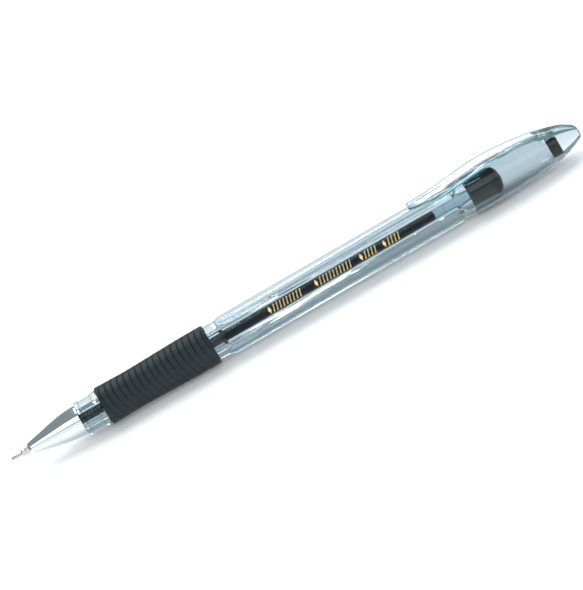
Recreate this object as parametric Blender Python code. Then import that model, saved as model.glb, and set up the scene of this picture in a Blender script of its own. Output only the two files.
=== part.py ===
"""A capped gel pen with its clear cap pushed onto the rear of the barrel.

The pen lies along X. The origin is the front of the writing ball, on the pen's axis. +X runs back to
the closed end of the cap, and +Z is the side of the clip. Lengths are in metres.
"""

import math

import bmesh
import bpy
from mathutils import Matrix, Vector

MM = 0.001

# Sides of the large and the small round pieces. Pieces that fit each other have the same number.
LARGE_SIDES = 36
SMALL_SIDES = 18

# Clearances
RUNNING_GAP = 0.05 * MM  # between a small round piece and the hole it sits in
SLIDING_GAP = 0.10 * MM  # between the cap's bore and the barrel, and between a thread and its groove
FACE_GAP = 0.10 * MM  # between end faces that meet
CLIP_GAP = 0.15 * MM  # least height of the clip over what it lies along

# Writing point
BALL_RADIUS = 0.35 * MM
BALL_PLAY = 0.02 * MM
BALL_BANDS = 8
BALL_EXPOSED = 0.252 * MM  # in front of the needle tube's lip
NEEDLE_CUP_WALL = 0.07 * MM  # beside the ball
NEEDLE_BORE = 0.20 * MM
NEEDLE_EXPOSED = 2.80 * MM  # from the front of the ball to the holder
NEEDLE_IN_HOLDER = 1.80 * MM
HOLDER_RADIUS = 0.90 * MM
HOLDER_EXPOSED = 2.25 * MM
HOLDER_STEP = 0.30 * MM  # of its shoulder over its radius
HOLDER_SHOULDER_LENGTH = 2.30 * MM
HOLDER_CHANNEL = 0.25 * MM
HOLDER_CHAMFER = 0.25 * MM

# Refill
ADAPTER_RADIUS = 1.55 * MM
ADAPTER_LENGTH = 3.70 * MM
ADAPTER_NOSE_RADIUS = 0.70 * MM
ADAPTER_NOSE_LENGTH = 1.40 * MM
ADAPTER_SPIGOT_LENGTH = 4.50 * MM
ADAPTER_CHANNEL = 0.30 * MM
REFILL_RADIUS = 1.30 * MM
REFILL_WALL = 0.35 * MM
FOLLOWER_LENGTH = 3.00 * MM
EMPTY_LENGTH = 7.00 * MM  # of refill tube behind the follower

# Nose cone
CONE_FRONT_RADIUS = 1.50 * MM
CONE_REAR_WALL = 1.22 * MM  # outside the thread
CONE_LENGTH = 14.95 * MM
CONE_LIP = 1.55 * MM  # length of the front hole
CONE_CHAMFER = 0.12 * MM

# Thread between the cone and the barrel's spigot
THREAD_ROOT_RADIUS = 2.45 * MM
THREAD_DEPTH = 0.30 * MM
THREAD_PITCH = 1.25 * MM
THREAD_TURNS = 4
THREAD_FROM_SHOULDER = 0.90 * MM
THREAD_SUNK = 0.17 * MM  # depth of the ridge's foot inside the spigot
THREAD_FOOT = 0.76 * MM  # width of the ridge at its foot
THREAD_CREST = 0.25 * MM
SPIGOT_LEAD = 0.60 * MM  # in front of the thread
SPIGOT_WALL = 0.45 * MM
SPIGOT_CHAMFER = 0.20 * MM

# Barrel
BAND_RADIUS = 4.72 * MM  # of the round barrel before and behind the six-sided stretch
FRONT_BAND_LENGTH = 3.00 * MM
REAR_BAND_LENGTH = 9.80 * MM
NECK_LENGTH = 6.20 * MM
NECK_DEPTH = 0.42 * MM  # below the band
FRONT_BEAD_DEPTH = 0.12 * MM
FRONT_BEAD_LENGTH = 1.10 * MM
REAR_BEAD_LENGTH = 1.60 * MM
BEAD_ROUNDING = 0.25 * MM
GRIP_SEAT_DEPTH = 0.62 * MM
HEX_LENGTH = 68.00 * MM
HEX_RUN_OUT = 1.50 * MM  # length over which the corners fade into the round bands
HEX_SIDE_RISE = 0.06 * MM  # of the flat strip down each side, over the band
HEX_CORNER_RISE = 0.405 * MM
HEX_CORNER_ROUNDING = 0.075 * MM  # taken off the sharp edge between two sides
HEX_FLAT_WIDTH = 1.60 * MM
BARREL_WALL = 1.78 * MM  # between a side and the six-sided bore
BARREL_END_WALL = 1.17 * MM
BARREL_END_ROUNDING = 0.20 * MM

# Grip
GRIP_LENGTH = 31.40 * MM
GRIP_FRONT_WALL = 1.01 * MM
GRIP_WAIST_WALL = 0.82 * MM
GRIP_REAR_WALL = 1.15 * MM
GRIP_ROUNDING = 0.45 * MM

# End plug
PLUG_STEM_LENGTH = 6.65 * MM
PLUG_STEM_TAPER = 0.30 * MM
PLUG_STRAIGHT_LENGTH = 1.00 * MM  # behind the taper
PLUG_FLANGE_LENGTH = 0.55 * MM
PLUG_DOME_HEIGHT = 2.00 * MM
PLUG_OVERLAP = 0.10 * MM  # of the flange over the end of the barrel

# Cap
CAP_LENGTH = 32.05 * MM
CAP_POSTED_DEPTH = 6.75 * MM  # of barrel inside the cap
CAP_BELLY_WALL = 0.83 * MM
CAP_BELLY_FROM_MOUTH = 6.25 * MM
CAP_SWELL_BEYOND = 0.70 * MM  # of the ellipse that the cap's outline follows, past the cap's end
CAP_WALL = 0.85 * MM  # where the bore narrows
CAP_STRAIGHT_BORE = 9.50 * MM
CAP_ROUNDING = 0.15 * MM
CAP_END_FACE = 0.60 * MM  # length over which the closed end is rounded
SEAL_RADIUS = 3.00 * MM
SEAL_LENGTH = 2.80 * MM
SEAL_RECESS = 0.80 * MM
SEAL_FROM_END = 6.20 * MM
SEAL_ROUNDING = 0.45 * MM
SEAL_CHAMFER = 0.15 * MM
SEAL_DIMPLE_RADIUS = 1.10 * MM
SEAL_DIMPLE_DEPTH = 0.60 * MM

# Clip
CLIP_OVERHANG = 14.75 * MM  # in front of the cap's mouth
CLIP_THICKNESS = 0.85 * MM
CLIP_ROOT_FROM_MOUTH = 21.25 * MM
CLIP_TIP_LIFT = 0.32 * MM
CLIP_WAIST_LIFT = 0.12 * MM
CLIP_CREST_LIFT = 0.38 * MM
CLIP_ROOT_LIFT = 0.18 * MM
CLIP_MOUTH_WIDTH = 6.40 * MM
CLIP_TIP_WIDTH = 4.40 * MM
CLIP_ROOT_WIDTH = 4.00 * MM
CLIP_PAD_SLOPE = 0.60 * MM
SADDLE_DIP = 0.40 * MM  # just behind the clip's root
SADDLE_RISE = 0.78 * MM
SADDLE_END_RISE = 0.30 * MM

# Places along the axis
HOLDER_FRONT = NEEDLE_EXPOSED
CONE_FRONT = HOLDER_FRONT + HOLDER_EXPOSED
CONE_REAR = CONE_FRONT + CONE_LENGTH
HOLDER_SHOULDER = CONE_FRONT + CONE_LIP + FACE_GAP
HOLDER_REAR = HOLDER_SHOULDER + HOLDER_SHOULDER_LENGTH
ADAPTER_FRONT = HOLDER_REAR + FACE_GAP
ADAPTER_REAR = ADAPTER_FRONT + ADAPTER_LENGTH
REFILL_FRONT = ADAPTER_REAR + FACE_GAP
BARREL_SHOULDER = CONE_REAR + FACE_GAP
THREAD_FRONT = BARREL_SHOULDER - THREAD_FROM_SHOULDER - THREAD_TURNS * THREAD_PITCH
SPIGOT_FRONT = THREAD_FRONT - SPIGOT_LEAD
GRIP_FRONT = BARREL_SHOULDER + NECK_LENGTH
GRIP_REAR = GRIP_FRONT + GRIP_LENGTH
HEX_FRONT = GRIP_REAR + FRONT_BAND_LENGTH
HEX_REAR = HEX_FRONT + HEX_LENGTH
BARREL_REAR = HEX_REAR + REAR_BAND_LENGTH
PLUG_FRONT = BARREL_REAR - PLUG_STEM_LENGTH
REFILL_REAR = PLUG_FRONT - FACE_GAP
FOLLOWER_REAR = REFILL_REAR - EMPTY_LENGTH
FOLLOWER_FRONT = FOLLOWER_REAR - FOLLOWER_LENGTH
INK_FRONT = ADAPTER_REAR + ADAPTER_SPIGOT_LENGTH + FACE_GAP
INK_REAR = FOLLOWER_FRONT - FACE_GAP
CAP_MOUTH = BARREL_REAR - CAP_POSTED_DEPTH
CAP_REAR = CAP_MOUTH + CAP_LENGTH
CAP_BELLY = CAP_MOUTH + CAP_BELLY_FROM_MOUTH
SEAL_REAR = CAP_REAR - SEAL_FROM_END
SEAL_FRONT = SEAL_REAR - SEAL_LENGTH
POCKET_FRONT = SEAL_FRONT - SEAL_RECESS
CLIP_TIP = CAP_MOUTH - CLIP_OVERHANG
CLIP_ROOT = CAP_MOUTH + CLIP_ROOT_FROM_MOUTH

# Radii and distances from the axis that follow from other pieces
NEEDLE_RADIUS = BALL_RADIUS + BALL_PLAY + NEEDLE_CUP_WALL
HOLDER_SHOULDER_RADIUS = HOLDER_RADIUS + HOLDER_STEP
REFILL_BORE = REFILL_RADIUS - REFILL_WALL
THREAD_CREST_RADIUS = THREAD_ROOT_RADIUS + THREAD_DEPTH
CONE_REAR_RADIUS = THREAD_CREST_RADIUS + CONE_REAR_WALL
FRONT_BORE = THREAD_ROOT_RADIUS - SPIGOT_WALL
FRONT_BEAD_RADIUS = BAND_RADIUS - FRONT_BEAD_DEPTH
NECK_RADIUS = BAND_RADIUS - NECK_DEPTH
GRIP_SEAT_RADIUS = BAND_RADIUS - GRIP_SEAT_DEPTH
HEX_FLAT_DISTANCE = BAND_RADIUS + HEX_SIDE_RISE
HEX_CORNER_RADIUS = BAND_RADIUS + HEX_CORNER_RISE
HEX_EDGE_REACH = HEX_CORNER_RADIUS + HEX_CORNER_ROUNDING
BORE_FLAT_DISTANCE = HEX_FLAT_DISTANCE - BARREL_WALL
REAR_BORE = BAND_RADIUS - BARREL_END_WALL
PLUG_STEM_RADIUS = REAR_BORE - RUNNING_GAP
CAP_BORE = BAND_RADIUS + SLIDING_GAP
CAP_BELLY_RADIUS = CAP_BORE + CAP_BELLY_WALL
CAP_SWELL_LENGTH = CAP_REAR - CAP_BELLY + CAP_SWELL_BEYOND

# How far a cutter reaches past what it cuts
CUTTER_MARGIN = 5.0 * MM


def remove_everything():
    for piece in list(bpy.data.objects):
        bpy.data.objects.remove(piece, do_unlink=True)


def finish(name, colour, roughness, metallic=0.0, alpha=1.0):
    """A Principled material. The colour is linear red, green and blue."""
    material = bpy.data.materials.new(name)
    material.use_nodes = True
    shader = material.node_tree.nodes["Principled BSDF"]
    shader.inputs["Base Color"].default_value = (*colour, 1.0)
    shader.inputs["Roughness"].default_value = roughness
    shader.inputs["Metallic"].default_value = metallic
    shader.inputs["Alpha"].default_value = alpha
    return material


def add_piece(name, shape, material=None):
    """An object of this bmesh, smooth where it is round. Without a material it is a cutter."""
    bmesh.ops.remove_doubles(shape, verts=shape.verts, dist=1e-7)
    bmesh.ops.recalc_face_normals(shape, faces=shape.faces)
    mesh = bpy.data.meshes.new(name)
    shape.to_mesh(mesh)
    shape.free()
    mesh.shade_smooth()
    mesh.set_sharp_from_angle(angle=math.radians(30))
    piece = bpy.data.objects.new(name, mesh)
    bpy.context.scene.collection.objects.link(piece)
    if material:
        mesh.materials.append(material)
    else:
        piece.hide_render = True
        piece.display_type = "WIRE"
    return piece


def turned(name, outline, material=None, sides=LARGE_SIDES):
    """A solid turned about X from (x, radius) points: a closed loop, or a line from the axis back to it."""
    shape = bmesh.new()
    points = [shape.verts.new((x, 0, radius)) for x, radius in outline]
    is_loop = outline[0][1] > 0
    pairs = zip(points, points[1:] + points[:1]) if is_loop else zip(points, points[1:])
    edges = [shape.edges.new(pair) for pair in pairs]
    bmesh.ops.spin(
        shape,
        geom=points + edges,
        axis=(1, 0, 0),
        cent=(0, 0, 0),
        angle=2 * math.pi,
        steps=sides,
        use_merge=True,
    )
    return add_piece(name, shape, material)


def extruded(name, outline, along, material=None):
    """A closed outline of 3-D points, extruded along a vector."""
    shape = bmesh.new()
    face = shape.faces.new([shape.verts.new(point) for point in outline])
    made = bmesh.ops.extrude_face_region(shape, geom=[face])
    moved = [part for part in made["geom"] if isinstance(part, bmesh.types.BMVert)]
    bmesh.ops.translate(shape, verts=moved, vec=along)
    bmesh.ops.triangulate(shape, faces=shape.faces)
    return add_piece(name, shape, material)


def combine(piece, operation, other):
    modifier = piece.modifiers.new(f"{operation.lower()} {other.name}", "BOOLEAN")
    modifier.operation = operation
    modifier.object = other


def smooth_curve(points, steps=4):
    """A Catmull-Rom curve through 2-D points, with a number of steps between each two."""
    points = [Vector(point) for point in points]
    padded = [2 * points[0] - points[1], *points, 2 * points[-1] - points[-2]]
    curve = [points[0]]
    for before, start, end, after in zip(padded, padded[1:], padded[2:], padded[3:]):
        for step in range(1, steps + 1):
            t = step / steps
            bend = 2 * before - 5 * start + 4 * end - after
            twist = 3 * start - before - 3 * end + after
            curve.append(0.5 * (2 * start + (end - before) * t + bend * t**2 + twist * t**3))
    return [tuple(point) for point in curve]


def cap_radius(x):
    """Outer radius of the cap, which follows an ellipse from its mouth to its end."""
    return CAP_BELLY_RADIUS * math.sqrt(1 - ((x - CAP_BELLY) / CAP_SWELL_LENGTH) ** 2)


def even_steps(start, end, count):
    return [start + (end - start) * step / count for step in range(count + 1)]


def set_origin(piece, point):
    """Moves the piece's origin to a point and leaves its shape where it is."""
    for vertex in piece.data.vertices:
        vertex.co -= Vector(point)
    piece.location = point


def make_ball():
    outline = [
        (BALL_RADIUS * (1 - math.cos(turn)), BALL_RADIUS * math.sin(turn))
        for turn in even_steps(0, math.pi, BALL_BANDS)
    ]
    outline[0] = (0, 0)
    outline[-1] = (2 * BALL_RADIUS, 0)
    steel = finish("ball steel", (0.62, 0.63, 0.65), 0.15, metallic=1.0)
    ball = turned("ball", outline, steel, SMALL_SIDES)
    set_origin(ball, (BALL_RADIUS, 0, 0))
    return ball


def make_needle_tube():
    """A thin tube with a cup for the ball, whose lip closes a little in front of the ball's middle."""
    cup = BALL_RADIUS + BALL_PLAY
    lip = BALL_EXPOSED
    lip_radius = math.sqrt(BALL_RADIUS**2 - (BALL_RADIUS - lip) ** 2) + BALL_PLAY / 2
    rear = HOLDER_FRONT + NEEDLE_IN_HOLDER
    outline = [
        (lip, lip_radius),
        (lip, (lip_radius + NEEDLE_RADIUS) / 2),
        (BALL_RADIUS, NEEDLE_RADIUS),
        (rear, NEEDLE_RADIUS),
        (rear, NEEDLE_BORE),
        (2 * BALL_RADIUS + BALL_PLAY, NEEDLE_BORE),
        (2 * BALL_RADIUS - BALL_PLAY, cup),
        (BALL_RADIUS, cup),
    ]
    steel = finish("needle steel", (0.55, 0.56, 0.58), 0.25, metallic=1.0)
    return turned("needle_tube", outline, steel, SMALL_SIDES)


def make_tip_holder():
    socket = ADAPTER_NOSE_RADIUS + RUNNING_GAP
    needle_hole = NEEDLE_RADIUS + RUNNING_GAP
    needle_end = HOLDER_FRONT + NEEDLE_IN_HOLDER + FACE_GAP
    socket_front = ADAPTER_FRONT - ADAPTER_NOSE_LENGTH - FACE_GAP
    outline = [
        (HOLDER_FRONT, needle_hole),
        (HOLDER_FRONT, HOLDER_RADIUS - HOLDER_CHAMFER),
        (HOLDER_FRONT + HOLDER_CHAMFER, HOLDER_RADIUS),
        (HOLDER_SHOULDER, HOLDER_RADIUS),
        (HOLDER_SHOULDER, HOLDER_SHOULDER_RADIUS),
        (HOLDER_REAR, HOLDER_SHOULDER_RADIUS),
        (HOLDER_REAR, socket),
        (socket_front, socket),
        (socket_front, HOLDER_CHANNEL),
        (needle_end, HOLDER_CHANNEL),
        (needle_end, needle_hole),
    ]
    brass = finish("holder metal", (0.62, 0.50, 0.44), 0.3, metallic=1.0)
    return turned("tip_holder", outline, brass, SMALL_SIDES)


def make_tip_adapter():
    """The plastic plug between the metal holder and the refill tube."""
    spigot = REFILL_BORE - RUNNING_GAP
    front = ADAPTER_FRONT - ADAPTER_NOSE_LENGTH
    rear = ADAPTER_REAR + ADAPTER_SPIGOT_LENGTH
    outline = [
        (front, ADAPTER_CHANNEL),
        (front, ADAPTER_NOSE_RADIUS),
        (ADAPTER_FRONT, ADAPTER_NOSE_RADIUS),
        (ADAPTER_FRONT, ADAPTER_RADIUS),
        (ADAPTER_REAR, ADAPTER_RADIUS),
        (ADAPTER_REAR, spigot),
        (rear, spigot),
        (rear, ADAPTER_CHANNEL),
    ]
    plastic = finish("adapter plastic", (0.75, 0.76, 0.74), 0.45)
    return turned("tip_adapter", outline, plastic, SMALL_SIDES)


def make_refill_tube():
    outline = [
        (REFILL_FRONT, REFILL_BORE),
        (REFILL_FRONT, REFILL_RADIUS),
        (REFILL_REAR, REFILL_RADIUS),
        (REFILL_REAR, REFILL_BORE),
    ]
    plastic = finish("refill plastic", (0.72, 0.80, 0.82), 0.35, alpha=0.4)
    return turned("refill_tube", outline, plastic, SMALL_SIDES)


def make_filling(name, front, rear, material):
    """A column of ink or grease that fills the refill's bore."""
    radius = REFILL_BORE - RUNNING_GAP
    outline = [(front, 0), (front, radius), (rear, radius), (rear, 0)]
    return turned(name, outline, material, SMALL_SIDES)


def cone_outline():
    """The outside of the cone: a straight taper that bends round to run level at the rear."""
    rise = CONE_REAR_RADIUS - CONE_FRONT_RADIUS
    shares = [(0.0, 0.0), (0.20, 0.27), (0.53, 0.70), (0.70, 0.89), (0.86, 0.985), (1.0, 1.0)]
    return smooth_curve(
        [
            (CONE_FRONT + along * CONE_LENGTH, CONE_FRONT_RADIUS + up * rise)
            for along, up in shares
        ],
        steps=2,
    )


def thread_ridge(name, turns, extra=0, early_steps=0):
    """A helical ridge round the spigot. To cut its own groove it is grown by extra on all sides and
    starts some steps early."""
    foot = THREAD_FOOT / 2 + extra
    crest = THREAD_CREST / 2 + extra
    steps = SMALL_SIDES
    shape = bmesh.new()
    outline = [
        (THREAD_FRONT - foot, THREAD_ROOT_RADIUS - THREAD_SUNK),
        (THREAD_FRONT - crest, THREAD_CREST_RADIUS + extra),
        (THREAD_FRONT + crest, THREAD_CREST_RADIUS + extra),
        (THREAD_FRONT + foot, THREAD_ROOT_RADIUS - THREAD_SUNK),
    ]
    face = shape.faces.new([shape.verts.new((x, 0, radius)) for x, radius in outline])
    bmesh.ops.spin(
        shape,
        geom=[face],
        axis=(1, 0, 0),
        cent=(0, 0, 0),
        dvec=(THREAD_PITCH / steps, 0, 0),
        angle=2 * math.pi * turns,
        steps=steps * turns,
    )
    back_turn = Matrix.Rotation(-2 * math.pi * early_steps / steps, 4, "X")
    back_step = Matrix.Translation((-THREAD_PITCH * early_steps / steps, 0, 0))
    bmesh.ops.transform(shape, matrix=back_step @ back_turn, verts=shape.verts)
    return add_piece(name, shape)


def make_nose_cone():
    outside = cone_outline()
    hole = HOLDER_RADIUS + SLIDING_GAP
    shoulder_bore = HOLDER_SHOULDER_RADIUS + SLIDING_GAP
    adapter_bore = ADAPTER_RADIUS + SLIDING_GAP
    thread_bore = THREAD_ROOT_RADIUS + SLIDING_GAP
    lip = CONE_FRONT + CONE_LIP
    shoulder_end = ADAPTER_FRONT - FACE_GAP / 2
    thread_start = SPIGOT_FRONT - FACE_GAP
    outline = [
        (CONE_FRONT, hole),
        (CONE_FRONT, outside[0][1] - CONE_CHAMFER),
        (CONE_FRONT + CONE_CHAMFER, outside[0][1]),
        *outside[1:],
        (CONE_REAR, thread_bore),
        (thread_start, thread_bore),
        (thread_start, adapter_bore),
        (shoulder_end, adapter_bore),
        (shoulder_end, shoulder_bore),
        (lip, shoulder_bore),
        (lip, hole),
    ]
    chrome = finish("cone chrome", (0.78, 0.79, 0.80), 0.08, metallic=1.0)
    cone = turned("nose_cone", outline, chrome)
    groove = thread_ridge("cone_groove_cutter", THREAD_TURNS + 2, SLIDING_GAP / 2, early_steps=1)
    combine(cone, "DIFFERENCE", groove)
    return cone


def bead(front, length, radius):
    """Points of a raised ring with rounded edges."""
    r = BEAD_ROUNDING
    return [
        (front, radius - r),
        (front + r * 0.3, radius - r * 0.3),
        (front + r, radius),
        (front + length - r, radius),
        (front + length - r * 0.3, radius - r * 0.3),
        (front + length, radius - r),
    ]


def hex_side_points(flat_distance, flat_width, edge_reach):
    """A six-sided outline in the YZ plane, with an edge at +Y and a side facing straight down.
    Each side has a flat strip down its middle and falls away from there to its edges."""
    points = []
    for side in range(6):
        edge = math.radians(60 * side)
        facing = edge + math.radians(30)
        out = Vector((0, math.cos(facing), math.sin(facing)))
        across = Vector((0, -math.sin(facing), math.cos(facing)))
        points.append(Vector((0, math.cos(edge), math.sin(edge))) * edge_reach)
        if flat_width:
            points.append(out * flat_distance - across * flat_width / 2)
            points.append(out * flat_distance + across * flat_width / 2)
    return points


def hex_prism(name, front, rear, points):
    start = [point + Vector((front, 0, 0)) for point in points]
    return extruded(name, start, (rear - front, 0, 0))


def make_barrel():
    neck_front = BARREL_SHOULDER + FRONT_BEAD_LENGTH
    rear_bead = GRIP_FRONT - REAR_BEAD_LENGTH
    grip_seat_end = GRIP_REAR + FACE_GAP
    outline = [
        (SPIGOT_FRONT, FRONT_BORE),
        (SPIGOT_FRONT, THREAD_ROOT_RADIUS - SPIGOT_CHAMFER),
        (SPIGOT_FRONT + SPIGOT_CHAMFER, THREAD_ROOT_RADIUS),
        (BARREL_SHOULDER, THREAD_ROOT_RADIUS),
        *bead(BARREL_SHOULDER, FRONT_BEAD_LENGTH, FRONT_BEAD_RADIUS),
        (neck_front, NECK_RADIUS),
        (rear_bead, NECK_RADIUS),
        *bead(rear_bead, REAR_BEAD_LENGTH, BAND_RADIUS),
        (GRIP_FRONT, GRIP_SEAT_RADIUS),
        (grip_seat_end, GRIP_SEAT_RADIUS),
        (grip_seat_end, BAND_RADIUS),
        (HEX_FRONT, BAND_RADIUS),
        (HEX_FRONT + HEX_RUN_OUT, HEX_CORNER_RADIUS),
        (HEX_REAR - HEX_RUN_OUT, HEX_CORNER_RADIUS),
        (HEX_REAR, BAND_RADIUS),
        (BARREL_REAR - BARREL_END_ROUNDING, BAND_RADIUS),
        (BARREL_REAR, BAND_RADIUS - BARREL_END_ROUNDING),
        (BARREL_REAR, REAR_BORE),
        (HEX_REAR, REAR_BORE),
        (HEX_REAR, FRONT_BORE),
    ]
    clear = finish("barrel plastic", (0.80, 0.88, 0.90), 0.08, alpha=0.3)
    barrel = turned("barrel", outline, clear)
    sides = hex_side_points(HEX_FLAT_DISTANCE, HEX_FLAT_WIDTH, HEX_EDGE_REACH)
    front, rear = SPIGOT_FRONT - CUTTER_MARGIN, BARREL_REAR + CUTTER_MARGIN
    outside = hex_prism("barrel_side_cutter", front, rear, sides)
    combine(barrel, "INTERSECT", outside)
    bore_edge = BORE_FLAT_DISTANCE / math.cos(math.radians(30))
    bore = hex_side_points(BORE_FLAT_DISTANCE, 0, bore_edge)
    inside = hex_prism("barrel_bore_cutter", HEX_FRONT, HEX_REAR + FACE_GAP, bore)
    combine(barrel, "DIFFERENCE", inside)
    ridge = thread_ridge("barrel_thread", THREAD_TURNS)
    combine(barrel, "UNION", ridge)
    return barrel


def make_grip():
    """A sleeve with a slight waist for the fingers, fattest over its rear half."""
    bore = GRIP_SEAT_RADIUS + RUNNING_GAP
    front_radius = bore + GRIP_FRONT_WALL
    waist_radius = bore + GRIP_WAIST_WALL
    rear_radius = bore + GRIP_REAR_WALL
    r = GRIP_ROUNDING
    front = GRIP_FRONT + FACE_GAP
    rear = GRIP_REAR
    waist = smooth_curve(
        [
            (front + r, front_radius),
            (front + 0.28 * GRIP_LENGTH, waist_radius),
            (front + 0.55 * GRIP_LENGTH, (waist_radius + rear_radius) / 2),
            (front + 0.78 * GRIP_LENGTH, rear_radius),
            (rear - r, rear_radius),
        ],
        steps=2,
    )
    outline = [
        (front, bore),
        (front, front_radius - r),
        (front + r * 0.3, front_radius - r * 0.3),
        *waist,
        (rear - r * 0.3, rear_radius - r * 0.3),
        (rear, rear_radius - r),
        (rear, bore),
    ]
    rubber = finish("grip rubber", (0.030, 0.042, 0.048), 0.55)
    return turned("grip", outline, rubber)


def make_end_plug():
    """A stem pressed into the barrel's rear, and a domed head whose flange rests on the barrel's end."""
    head = REAR_BORE + PLUG_OVERLAP
    flange = BARREL_REAR + FACE_GAP
    dome_start = flange + PLUG_FLANGE_LENGTH
    dome = [
        (dome_start + PLUG_DOME_HEIGHT * math.sin(turn), head * math.cos(turn))
        for turn in even_steps(0, math.pi / 2, 6)
    ]
    dome[-1] = (dome_start + PLUG_DOME_HEIGHT, 0)
    outline = [
        (PLUG_FRONT, 0),
        (PLUG_FRONT, PLUG_STEM_RADIUS - PLUG_STEM_TAPER),
        (BARREL_REAR - PLUG_STRAIGHT_LENGTH, PLUG_STEM_RADIUS),
        (flange, PLUG_STEM_RADIUS),
        (flange, head),
        *dome,
    ]
    black = finish("plug plastic", (0.012, 0.013, 0.015), 0.3)
    return turned("end_plug", outline, black)


def clip_heights():
    """(x, height) points along the clip's upper face, from its tip to its root. Everywhere it stands over
    the barrel or the cap by its own thickness, the least gap and some lift."""
    least = CLIP_GAP + CLIP_THICKNESS
    over_barrel = [(0, CLIP_TIP_LIFT), (0.20, 0.7 * CLIP_TIP_LIFT), (0.50, CLIP_WAIST_LIFT)]
    over_cap = [(0, 0), (0.38, CLIP_CREST_LIFT), (0.76, CLIP_CREST_LIFT), (1, CLIP_ROOT_LIFT)]
    points = [
        (CLIP_TIP + share * CLIP_OVERHANG, HEX_FLAT_DISTANCE + least + lift)
        for share, lift in over_barrel
    ]
    for share, lift in over_cap:
        x = CAP_MOUTH + share * CLIP_ROOT_FROM_MOUTH
        points.append((x, cap_radius(x) + least + lift))
    return points


def clip_half_widths():
    """(x, half width) points of the clip seen from above, from its rounded tip to its root."""
    tip, mouth, root = CLIP_TIP_WIDTH / 2, CLIP_MOUTH_WIDTH / 2, CLIP_ROOT_WIDTH / 2
    return [
        (CLIP_TIP, 0.45 * tip),
        (CLIP_TIP + 0.03 * CLIP_OVERHANG, 0.75 * tip),
        (CLIP_TIP + 0.20 * CLIP_OVERHANG, tip),
        (CLIP_TIP + 0.52 * CLIP_OVERHANG, (tip + mouth) / 2),
        (CAP_MOUTH, mouth),
        (CAP_MOUTH + 0.38 * CLIP_ROOT_FROM_MOUTH, 0.92 * mouth),
        (CAP_MOUTH + 0.76 * CLIP_ROOT_FROM_MOUTH, (0.3 * mouth + 0.7 * root)),
        (CLIP_ROOT, root),
    ]


def strip(name, upper, lower, half_widths, material=None):
    """A strip along the pen: its side view lies between two lines of (x, height) points, and its plan
    between (x, half width) points and their mirror image."""
    reach = max(half_width for _, half_width in half_widths) + CUTTER_MARGIN
    side_view = [(x, -reach, z) for x, z in upper + lower[::-1]]
    piece = extruded(name, side_view, (0, 2 * reach, 0), material)
    plan = [(x, y, 0) for x, y in half_widths] + [(x, -y, 0) for x, y in half_widths[::-1]]
    cutter = extruded(f"{name}_plan_cutter", plan, (0, 0, 2 * reach))
    combine(piece, "INTERSECT", cutter)
    return piece


def make_clip():
    """A springy leaf, whose pad near the tip all but touches the barrel."""
    upper = smooth_curve(clip_heights(), steps=3)
    pad_start, pad_end = CLIP_TIP + 0.06 * CLIP_OVERHANG, CLIP_TIP + 0.30 * CLIP_OVERHANG
    pad_height = HEX_FLAT_DISTANCE + CLIP_GAP
    under = [(x, z - CLIP_THICKNESS) for x, z in upper]
    lower = [
        *[point for point in under if point[0] < pad_start],
        (pad_start + CLIP_PAD_SLOPE, pad_height),
        (pad_end - CLIP_PAD_SLOPE, pad_height),
        *[point for point in under if point[0] > pad_end],
    ]
    widths = smooth_curve(clip_half_widths(), steps=3)
    widths = [*widths[:-1], (CLIP_ROOT + CUTTER_MARGIN, widths[-1][1])]
    clear = finish("clip plastic", (0.86, 0.92, 0.94), 0.06, alpha=0.25)
    clip = strip("clip", upper, lower, widths, clear)
    set_origin(clip, (CLIP_ROOT, 0, upper[-1][1] - CLIP_THICKNESS / 2))
    return clip


def make_cap():
    """A shell with a pocket for the seal in its closed end, and a saddle on top for the clip."""
    rounded_from = CAP_REAR - CAP_END_FACE
    outside = [(x, cap_radius(x)) for x in even_steps(CAP_MOUTH + CAP_ROUNDING, rounded_from, 11)]
    end_radius = outside[-1][1]
    outline = [
        (CAP_MOUTH, 0),
        (CAP_MOUTH, outside[0][1] - CAP_ROUNDING),
        *outside,
        (rounded_from + 0.75 * CAP_END_FACE, 0.75 * end_radius),
        (CAP_REAR, 0.4 * end_radius),
        (CAP_REAR, 0),
    ]
    clear = finish("cap plastic", (0.86, 0.92, 0.94), 0.06, alpha=0.25)
    cap = turned("cap", outline, clear)

    saddle_front, saddle_rear = CLIP_ROOT + FACE_GAP, rounded_from + 0.4 * CAP_END_FACE
    middle = (saddle_front + saddle_rear) / 2
    upper = smooth_curve(
        [
            (saddle_front, clip_heights()[-1][1]),
            (saddle_front + 0.25 * (middle - saddle_front), clip_heights()[-1][1] - SADDLE_DIP),
            (middle, cap_radius(middle) + SADDLE_RISE),
            (saddle_rear, cap_radius(saddle_rear) + SADDLE_END_RISE),
        ]
    )
    depth = 0.3 * end_radius
    lower = [(saddle_front, depth), (saddle_rear, depth)]
    root = CLIP_ROOT_WIDTH / 2
    widths = [(saddle_front - MM, root), (saddle_rear - MM, root), (saddle_rear + MM, 0.8 * root)]
    saddle = strip("cap_saddle", upper, lower, widths)
    saddle.hide_render = True
    saddle.display_type = "WIRE"
    combine(cap, "UNION", saddle)

    pocket = SEAL_RADIUS + RUNNING_GAP
    hollow = [
        (CAP_MOUTH - MM, 0),
        (CAP_MOUTH - MM, CAP_BORE),
        (CAP_MOUTH + CAP_STRAIGHT_BORE, CAP_BORE),
        *[
            (x, min(CAP_BORE, cap_radius(x) - CAP_WALL))
            for x in even_steps(CAP_MOUTH + CAP_STRAIGHT_BORE, POCKET_FRONT, 5)[1:]
        ],
        (POCKET_FRONT, pocket),
        (SEAL_REAR + FACE_GAP, pocket),
        (SEAL_REAR + FACE_GAP, 0),
    ]
    combine(cap, "DIFFERENCE", turned("cap_hollow_cutter", hollow))
    return cap


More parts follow.
